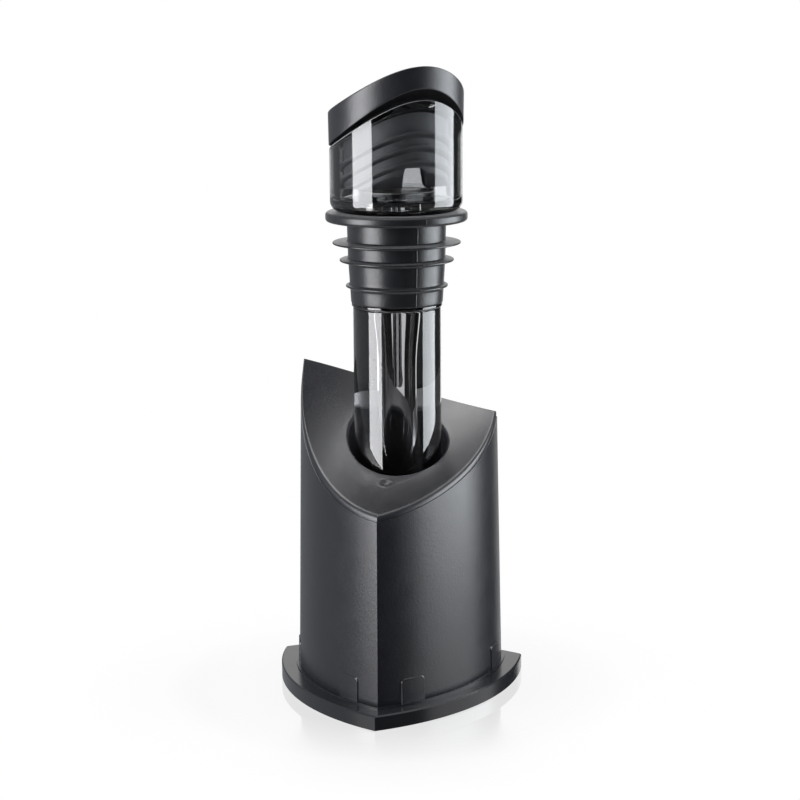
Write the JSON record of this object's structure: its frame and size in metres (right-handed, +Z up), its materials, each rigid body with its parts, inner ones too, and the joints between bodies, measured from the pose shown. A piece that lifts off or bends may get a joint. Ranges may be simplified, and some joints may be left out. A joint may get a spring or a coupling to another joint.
{
  "type": "wine aerator pourer with stand",
  "caption": "Wine aerator pourer with a clear chamber, finned bottle sleeve, clear inlet tube and slanted stopper, standing in a bow-sided triangular stand with a scooped top.",
  "frame": {"origin": "on the table under the stand's foot pad, where the pourer's axis meets it", "axes": "+Z up along the pourer's axis; -Y points to the stand's lowest (front) corner; +X to the right seen from the front corner"},
  "size_m": [0.0456, 0.0458, 0.1151],
  "materials": {
    "plinth_plastic": "glossy moulded plastic, charcoal",
    "pad_rubber": "matte non-slip sheet",
    "shell_plastic": "soft-touch satin, charcoal",
    "clear_plastic": "clear polished plastic",
    "smoked_plastic": "clear polished plastic, slightly smoked",
    "frosted_plastic": "clear moulded plastic",
    "seal_rubber": "smooth black elastomer",
    "sleeve_rubber": "matte soft rubber, charcoal",
    "plug_rubber": "smooth black elastomer",
    "screen_steel": "thin punched stainless sheet",
    "crown_plastic": "soft-touch satin, charcoal"
  },
  "bodies": {
    "stand": {"stand_base": "plinth_plastic", "foot_pad": "pad_rubber", "stand_shell": "shell_plastic"},
    "pourer": {"inlet_tube": "clear_plastic", "air_tube": "frosted_plastic", "tube_gasket": "seal_rubber", "neck_o_ring": "seal_rubber", "pour_chamber": "smoked_plastic", "aerator_insert": "frosted_plastic", "filter_screen": "screen_steel", "filter_clamp": "frosted_plastic", "bottle_sleeve": "sleeve_rubber"},
    "stopper": {"stopper_crown": "crown_plastic", "stopper_plug": "plug_rubber"}
  },
  "joints": [
    {"name": "pourer_lift", "type": "slide", "parent": "stand", "child": "pourer", "axis": [0, 0, 1], "range_m": [0, 0.058]},
    {"name": "stopper_lift", "type": "slide", "parent": "pourer", "child": "stopper", "axis": [0, 0, 1], "range_m": [0, 0.02]}
  ]
}
